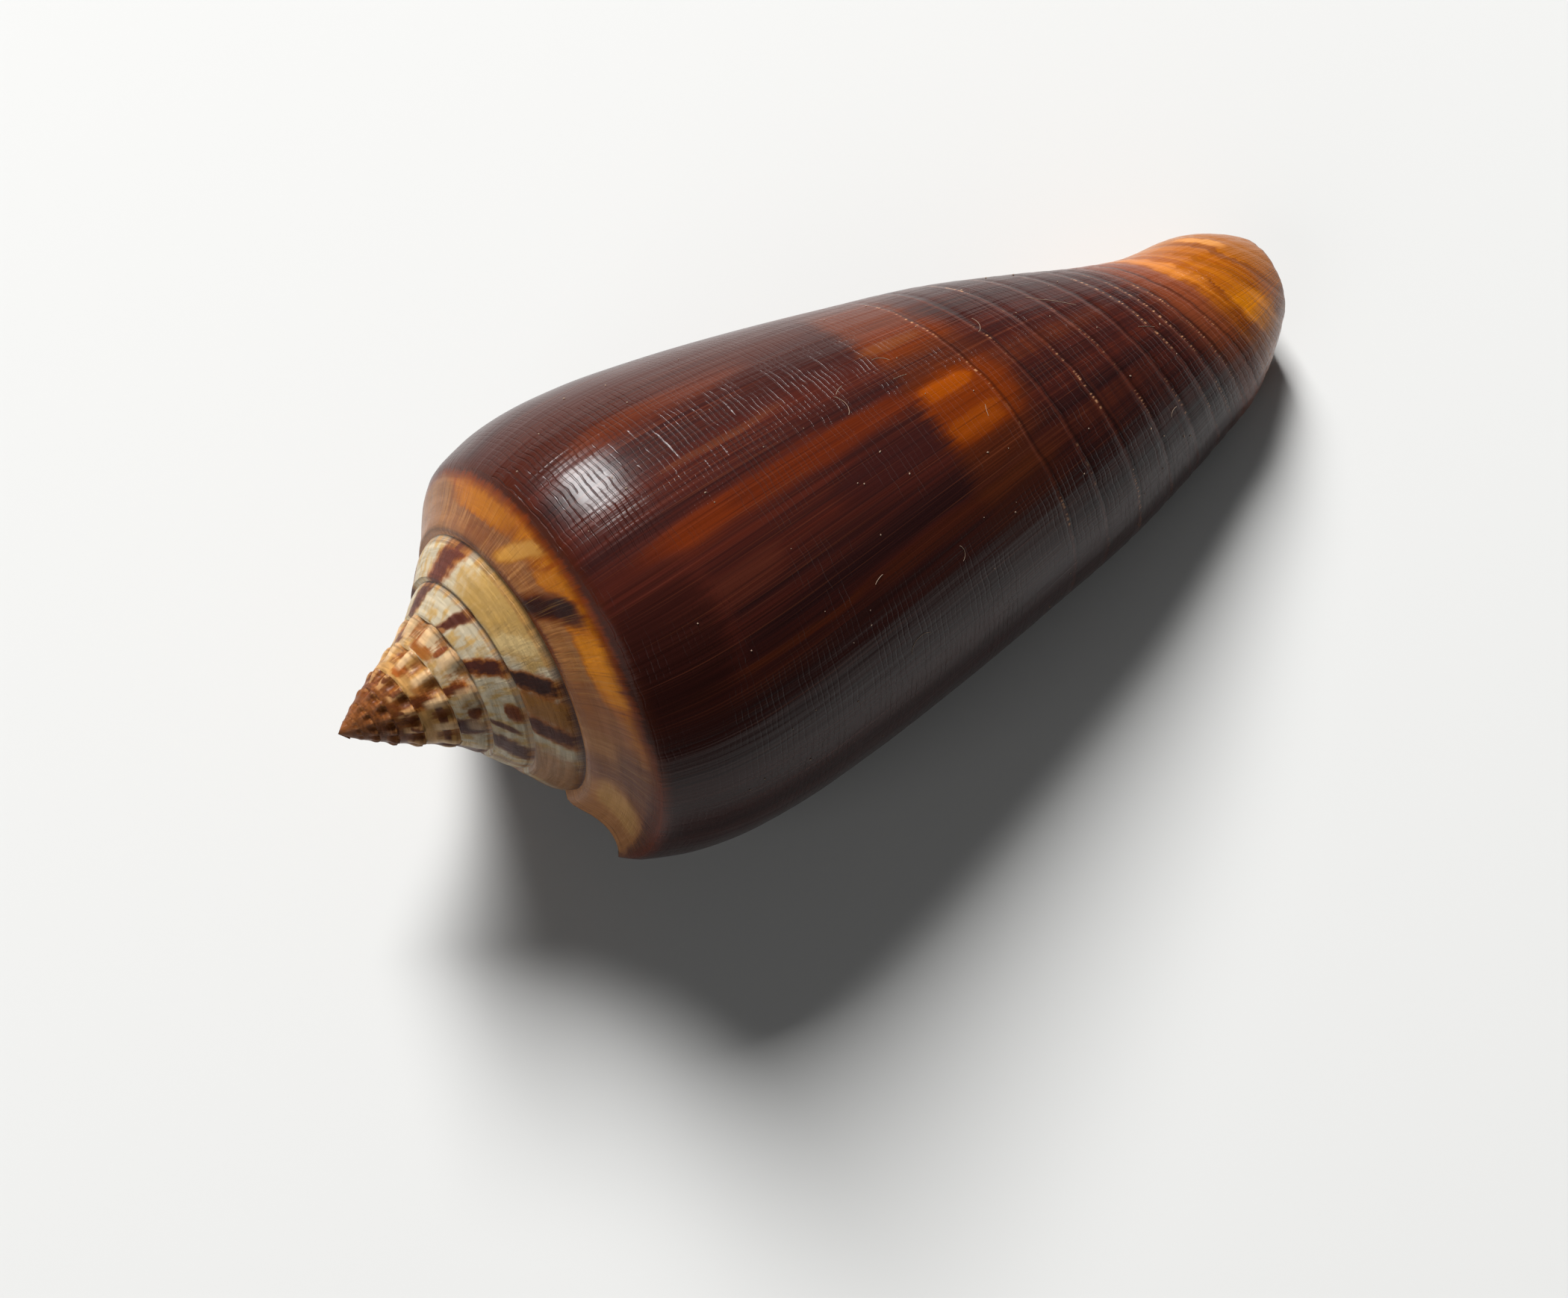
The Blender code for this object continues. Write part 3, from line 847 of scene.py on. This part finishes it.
def ramp_color(p, back, across):
    """Colour of the last whorl's ramp, tan with a ragged amber band on the shoulder."""
    slant = p.add(back, p.times(p.add(across, 1.0), 0.012))
    radial = p.noise(slant, 260, across, 1.3, 3, 7)
    wide = p.noise(slant, 60, across, 1.6, 2, 8)
    thread = p.noise(slant, 700, across, 1.0, 2, 16)
    ramp = p.mix(p.rise(radial, 0.36, 0.66), (122, 72, 38), (154, 104, 60))
    ramp = p.tint(ramp, (104, 56, 34), 0.5, p.rise(wide, 0.50, 0.66))
    ramp = p.tint(ramp, (134, 86, 42), 0.7, p.rise(back, 0.44, 0.54))
    ramp = p.tint(ramp, (168, 112, 60), 0.5, p.rise(back, 0.32, 0.24))

    # Amber band
    inward = p.times(p.rise(back, 0.30, 0.18), -0.14)
    ragged = p.add(across, p.shake(radial, 0.16), p.shake(wide, 0.30), inward)
    length = p.times(p.rise(back, 0.13, 0.22), p.rise(p.less(back, p.times(across, 0.10)), 0.535, 0.505))
    amber = p.mix(p.rise(radial, 0.34, 0.64), (146, 70, 0), (184, 108, 2))
    warm = p.mix(p.rise(ragged, -0.60, -0.44), ramp, (136, 70, 12))
    ramp = p.mix(length, ramp, p.mix(p.rise(ragged, -0.52, -0.32), warm, amber))

    # Marks, fine threads and the dark rim of the shoulder
    leaning = p.add(slant, p.times(p.add(across, 0.62), 0.040))
    wavering = p.add(across, p.shake(radial, 0.10))
    ragged = p.shake(p.noise(slant, 130, across, 2.2, 2, 27), 1.8)
    ramp = p.marks(ramp, leaning, wavering, RAMP_MARKS, 1.0, ragged)
    ramp = p.tint(ramp, (186, 138, 72), 0.25, p.rise(thread, 0.55, 0.74))
    ramp = p.tint(ramp, (76, 34, 12), 0.35, p.rise(thread, 0.45, 0.28))
    inward = p.times(p.rise(back, 0.22, 0.14), -0.12)
    rim = p.add(across, p.shake(radial, 0.16), p.shake(wide, 0.12), p.shake(thread, 0.10), inward)
    ramp = p.tint(ramp, (96, 34, 4), 0.9, p.rise(rim, -0.30, -0.12))
    return p.tint(ramp, (46, 17, 11), 0.85, p.rise(rim, -0.15, -0.05))


def spire_color(p, back, across):
    """Colour of the spire: cream with brown bars, rusty brown towards the apex."""
    grain = p.noise(back, 70, across, 2.0, 3, 17)
    cloud = p.noise(back, 34, across, 2.4, 1, 24)
    color = p.mix(p.rise(grain, 0.42, 0.66), WHITE, CREAM)
    color = p.mix(p.rise(back, 3.0, 3.9), color, (176, 130, 72))

    # Bars of the far side, from noise
    turn = p.calc("FRACT", back)
    hidden = p.most(p.rise(turn, 0.56, 0.60), p.rise(turn, 0.07, 0.04))
    elsewhere = p.noise(back, 11, 0.0, 1.0, 2, 18)
    bars = p.add(elsewhere, p.shake(cloud, 0.06))
    color = p.tint(color, FRINGE, 0.8, hidden, p.rise(bars, 0.48, 0.52))
    color = p.tint(color, BAR, 0.9, hidden, p.rise(bars, 0.51, 0.56))

    # Marks of the near side
    slant = p.times(p.add(across, 0.55), p.rise(back, 2.9, 2.7), 0.030)
    edge = p.add(back, slant, p.shake(grain, 0.007), p.shake(cloud, 0.012))
    wavering = p.add(across, p.shake(cloud, 0.12))
    ragged = p.shake(p.noise(back, 110, across, 5, 2, 26), 2.2)
    color = p.marks(color, edge, wavering, SPIRE_MARKS, 1.0, ragged)

    # Early whorls, with pale knobs
    knob = p.calc("COSINE", p.times(back, TURN * NODULES))
    early = p.mix(p.rise(grain, 0.38, 0.60), (98, 46, 10), (124, 68, 22))
    knobs = p.times(p.rise(knob, 0.0, 0.7), p.rise(across, -0.78, -0.55), p.rise(back, 6.4, 5.0))
    early = p.tint(early, (190, 142, 90), 0.85, knobs, p.rise(cloud, 0.62, 0.48))
    early = p.tint(early, (100, 44, 10), 0.75, p.rise(cloud, 0.52, 0.62))
    early = p.tint(early, (84, 40, 14), 0.5, p.rise(across, -0.80, -0.95))
    early = p.tint(early, (122, 66, 22), 0.6, p.rise(back, 6.0, 7.4))
    low = p.times(p.rise(across, -0.72, -0.45), p.rise(back, 2.9, 3.5))
    color = p.tint(color, (204, 168, 124), 0.9, p.rise(knob, 0.1, 0.9), low)
    gaps = p.times(p.rise(knob, 0.2, -0.7), low, p.rise(grain, 0.38, 0.54), 0.8)
    color = p.mix(gaps, color, (122, 64, 20))
    color = p.tint(color, early, 0.95, p.rise(back, 4.45, 5.15))
    suture = p.rise(p.add(across, p.shake(grain, 0.08)), -0.09, -0.03)
    stained = p.mix(p.rise(grain, 0.42, 0.56), (78, 40, 20), (146, 98, 50))
    return p.tint(color, stained, 0.50, suture)


def outside_material():
    """The whole outside, glossy, with fine growth lines crossing spiral threads."""
    material, p, shader = new_material("shell_outside")
    back, across = p.coil()
    lines = p.less(back, p.times(p.most(across, 0.0), STREAK_LEAN))
    fine = p.noise(lines, 300, across, 1.6, 3, 1)
    broad = p.noise(lines, 42, across, 1.3, 2, 2)
    hair = p.noise(lines, 900, across, 2.5, 2, 14)
    jitter = p.shake(p.noise(lines, 90, across, 7, 2, 5), 0.016)
    ripple = p.noise(back, 26, across, 9, 2, 6)
    noises = (lines, fine, broad, hair, jitter, ripple)

    body = body_color(p, back, across, noises)
    ramp = p.mix(p.rise(back, 0.985, 1.015), ramp_color(p, back, across), spire_color(p, back, across))
    on_body = p.rise(p.add(across, p.shake(fine, 0.020), p.shake(hair, 0.030)), -0.008, 0.016)
    color = p.mix(p.times(on_body, p.rise(back, 1.35, 1.2)), ramp, body)

    # Grooves of the front half: dark in the middle, finely beaded along the upper edge
    sag = p.add(across, p.times(p.less(back, 0.3), 0.03), p.shake(ripple, 0.010))
    dots = p.rise(p.noise(back, 420, across, 40, 1, 19), 0.52, 0.66)
    worn = p.times(dots, p.rise(p.noise(back, 14, across, 12, 1, 20), 0.46, 0.62))
    for place, _, half in GROOVES[:DARK_GROOVES]:
        middle = p.near(sag, place + 0.001, 0.5 * half, 0.5 * half)
        color = p.tint(color, (24, 10, 9), 0.5, middle)
        edge = p.near(sag, place - 1.3 * half, 0.5 * half, 0.5 * half)
        color = p.tint(color, (118, 60, 42), 0.18, edge)
        beads = p.near(sag, place - 0.7 * half, 0.4 * half, 0.3 * half)
        color = p.tint(color, (184, 134, 96), 0.8, beads, worn)
    p.put(shader, "Base Color", color)

    # Fine relief: spiral threads in patches, and growth lines
    bend = p.shake(p.noise(back, 70, across, 24, 3, 10), 0.008)
    ladder = p.calc("SINE", p.times(p.add(across, bend), TURN / THREAD_SPACING))
    broken = p.rise(p.noise(back, 34, p.add(across, bend), 150, 1, 11), 0.32, 0.54)
    threads = p.times(p.rise(ladder, 0.35, 0.95), broken)
    grown = p.noise(lines, 420, across, 5, 2, 12)
    coarse = p.noise(lines, 150, across, 3, 2, 13)
    woven = p.add(0.2, p.times(p.rise(p.noise(back, 11, across, 7, 2, 25), 0.38, 0.60), 0.8))
    patch = p.times(p.rise(back, 0.28, 0.35), p.rise(back, 0.46, 0.42), p.rise(across, 0.42, 0.22), 0.78)
    fresh = p.add(0.22, patch)
    height = p.add(p.times(threads, woven, fresh, -0.90), p.times(grown, 0.26), p.times(coarse, 0.40))
    bump = p.node("Bump")
    bump.inputs["Strength"].default_value = 1.0
    bump.inputs["Distance"].default_value = BUMP_DEPTH
    p.put(bump, "Height", height)
    p.put(shader, "Normal", bump.outputs[0])
    rough = p.add(ROUGHNESS, p.times(p.rise(back, 0.8, 1.2), 0.12), p.shake(ripple, 0.10))
    p.put(shader, "Roughness", rough)
    for name, value in GLOSS.items():
        shader.inputs[name].default_value = value
    return material


def inside_material():
    """Porcelain-like lining of the aperture."""
    material, p, shader = new_material("shell_lining")
    back, across = p.coil()
    cloudy = p.noise(back, 12, across, 4, 2, 21)
    color = p.mix(p.rise(cloudy, 0.35, 0.65), (196, 178, 174), (172, 146, 136))
    color = p.tint(color, (90, 46, 30), 0.8, p.near(back, 0.0, 0.012, 0.008))
    p.put(shader, "Base Color", color)
    shader.inputs["Roughness"].default_value = 0.30
    return material


# Dust grains: number, half sizes in millimetres, shares of them, and where grains lie, back and across
GRAINS = 80
GRAIN_SIZES = (0.020, 0.050)
GRAIN_STRETCH = (0.7, 1.9)
GRAIN_THICKNESS = 0.8
GRAIN_LIFT = 0.4
DUSTY_BACK, DUSTY_ACROSS = (0.08, 0.47), (0.02, 0.86)
DUST_COLOR = srgb(138, 116, 98)

# A point on the shell's axis, which tells the way out
CORE_POINT = np.array([[20.0, 0.0, 0.0]])

# Fibres lying on the body: where they start, back and across, heading, length and curl
FIBRE_RADIUS = 0.012
FIBRE_LIFT = 0.010
FIBRE_POINTS = 14
FIBRES = (
    (0.357, 0.395, 2.4, 1.3, 1.9), (0.358, 0.400, 0.9, 0.7, 0.4), (0.163, 0.325, 0.2, 1.7, 2.4),
    (0.205, 0.425, 1.0, 0.9, -2.0), (0.376, 0.478, 1.3, 0.9, 1.6), (0.352, 0.478, 1.5, 0.8, 0.2),
    (0.366, 0.630, 1.2, 1.2, -1.6), (0.226, 0.305, 0.9, 0.6, 0.6), (0.292, 0.550, 0.3, 0.6, 0.3),
    (0.305, 0.826, 1.9, 0.9, 0.2), (0.392, 0.740, 2.2, 2.2, 0.2), (0.196, 0.782, 0.5, 0.7, 1.4),
)


def unit(vector):
    """The vector at length 1."""
    return vector / np.linalg.norm(vector)


def outer_place(back, across, lift):
    """A point lifted a little off the outer face, the way out, and the ways along and across the coil."""
    nearby = across + np.array([-0.002, 0.0, 0.002])
    middle = np.full(3, back)
    here = to_rest(outer_points(middle, nearby))[1]
    ahead = to_rest(outer_points(middle + 0.002, nearby))[1]
    below = to_rest(outer_points(middle, nearby + 0.004))[1]
    normal = unit(np.cross(ahead - here, below - here))
    if np.dot(normal, here - to_rest(CORE_POINT)[0]) < 0:
        normal = -normal
    return here + normal * lift, normal, unit(ahead - here), unit(below - here)


def add_grain(random, points, faces):
    """Adds one grain of dust, a stretched octahedron."""
    back, across = random.uniform(*DUSTY_BACK), random.uniform(*DUSTY_ACROSS)
    size = random.uniform(*GRAIN_SIZES)
    place, normal, along, below = outer_place(back, across, size * GRAIN_LIFT)
    turn = random.uniform(0, TURN)
    first = math.cos(turn) * along + math.sin(turn) * below
    second = np.cross(normal, first)
    stretch = random.uniform(*GRAIN_STRETCH)
    base = len(points)
    for direction, reach in ((first, stretch), (second, 1.0), (normal, GRAIN_THICKNESS)):
        points.append(place + direction * size * reach)
        points.append(place - direction * size * reach)
    for one, two in ((0, 2), (2, 1), (1, 3), (3, 0)):
        faces.append((base + one, base + two, base + 4))
        faces.append((base + two, base + one, base + 5))


def add_fibre(fibre, points, faces):
    """Adds one short curled fibre, a thin square tube."""
    back, across, heading, length, curl = fibre
    radius = float(wall(np.array([back]), np.array([across]))[0][0])
    scale = float(body_scale(back))
    base = len(points)
    for _ in range(FIBRE_POINTS):
        place, normal, along, below = outer_place(back, across, FIBRE_LIFT)
        side = unit(np.cross(normal, along * math.cos(heading) + below * math.sin(heading)))
        for k in range(4):
            turn = k * TURN / 4
            points.append(place + (side * math.cos(turn) + normal * math.sin(turn)) * FIBRE_RADIUS)
        back += math.cos(heading) * length / FIBRE_POINTS / (radius * TURN)
        across += math.sin(heading) * length / FIBRE_POINTS / scale
        heading += curl / FIBRE_POINTS
    for i in range(FIBRE_POINTS - 1):
        for k in range(4):
            one, two = base + 4 * i + k, base + 4 * i + (k + 1) % 4
            faces.append((one, two, two + 4, one + 4))
    faces.append((base + 3, base + 2, base + 1, base))
    last = base + 4 * (FIBRE_POINTS - 1)
    faces.append((last, last + 1, last + 2, last + 3))


def make_dust():
    """A few grains of pale dust and short fibres on the shell, in one mesh."""
    random = np.random.default_rng(7)
    points, faces = [], []
    for _ in range(GRAINS):
        add_grain(random, points, faces)
    for fibre in FIBRES:
        add_fibre(fibre, points, faces)
    mesh = bpy.data.meshes.new("dust")
    mesh.from_pydata((np.array(points) * MM).tolist(), [], faces)
    mesh.materials.append(plain_material("dust_pale", DUST_COLOR, 0.8))
    return new_object("dust", mesh)


def plain_material(name, color, roughness):
    """One plain colour."""
    material, _, shader = new_material(name)
    shader.inputs["Base Color"].default_value = color
    shader.inputs["Roughness"].default_value = roughness
    return material


# Floor, lamps and camera: metres, but for the camera's place, lens and sensor, which are in millimetres
FLOOR_HALF = 1.5
FLOOR_COLOR = (0.55, 0.55, 0.54, 1.0)
SKY_COLOR = (0.95, 0.97, 1.0, 1.0)
SKY_STRENGTH = 0.06
SHELL_MIDDLE = Vector((0.0, 0.0, 0.009))
SENSOR_WIDTH = 36.0
FOCAL_LENGTH = 77.142857
CAMERA_CLIP = (0.01, 10.0)
CAMERA_PLACE = (-35.747, -31.740, 148.302)
CAMERA_ANGLES = (15.4405, -4.638, -31.2456)


def make_floor():
    """A wide pale floor."""
    mesh = bpy.data.meshes.new("floor")
    corners = [(x * FLOOR_HALF, y * FLOOR_HALF, 0) for x, y in ((-1, -1), (1, -1), (1, 1), (-1, 1))]
    mesh.from_pydata(corners, [], [(0, 1, 2, 3)])
    mesh.materials.append(plain_material("floor_white", FLOOR_COLOR, 0.9))
    return new_object("floor", mesh)


def softbox(name, direction, distance, size, power):
    """A soft lamp that shines at the shell's middle from a direction."""
    lamp = bpy.data.lights.new(name, "AREA")
    lamp.shape = "RECTANGLE"
    lamp.size, lamp.size_y = size
    lamp.energy = power
    item = new_object(name, lamp)
    item.location = SHELL_MIDDLE + Vector(direction).normalized() * distance
    item.rotation_euler = Vector(direction).to_track_quat("Z", "Y").to_euler()


def make_camera():
    """The camera, at the photo's angle."""
    lens = bpy.data.cameras.new("camera")
    lens.sensor_width = SENSOR_WIDTH
    lens.lens = FOCAL_LENGTH
    lens.clip_start, lens.clip_end = CAMERA_CLIP
    item = new_object("camera", lens)
    item.location = Vector(CAMERA_PLACE) * MM
    item.rotation_euler = [math.radians(angle) for angle in CAMERA_ANGLES]
    bpy.context.scene.camera = item


def make_world():
    """Dim even light from all around."""
    world = bpy.data.worlds.new("studio")
    world.use_nodes = True
    background = world.node_tree.nodes["Background"]
    background.inputs["Color"].default_value = SKY_COLOR
    background.inputs["Strength"].default_value = SKY_STRENGTH
    bpy.context.scene.world = world
    bpy.context.scene.view_settings.view_transform = "Standard"


shell = make_shell()
shell.data.materials.append(outside_material())
shell.data.materials.append(inside_material())
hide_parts("shell")
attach(shell, "root")
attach(make_dust(), "root")
make_floor()
make_world()
softbox("key", direction=(0.113, 0.745, 0.658), distance=1.20, size=(0.34, 0.58), power=33.5)
softbox("fill", direction=(-0.85, -0.20, 0.5), distance=1.20, size=(0.80, 0.80), power=2.6)
make_camera()
